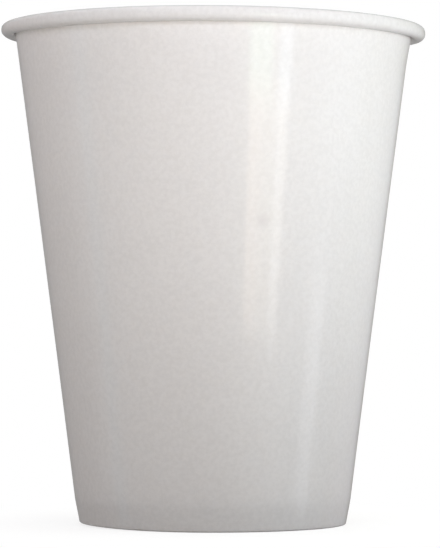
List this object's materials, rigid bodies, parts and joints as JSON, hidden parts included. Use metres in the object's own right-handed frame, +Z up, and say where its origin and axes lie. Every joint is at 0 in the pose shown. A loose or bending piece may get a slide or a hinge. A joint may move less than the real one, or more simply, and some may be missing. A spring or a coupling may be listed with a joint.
{
  "type": "paper cup",
  "caption": "Single-wall paper cup for hot drinks, with a rolled rim, a plain tapered wall, a narrow pressed band at the foot and a raised base.",
  "frame": {"origin": "on the cup's axis, in the plane that it stands on", "axes": "+Z up along the cup's axis, -Y towards the front of the cup, so that the side seam is at +Y"},
  "size_m": [0.09, 0.09, 0.106],
  "materials": {
    "coated_board": "satin coated",
    "base_board": "satin coated"
  },
  "bodies": {
    "root": {"sidewall": "coated_board", "base_disc": "base_board"}
  },
  "joints": []
}
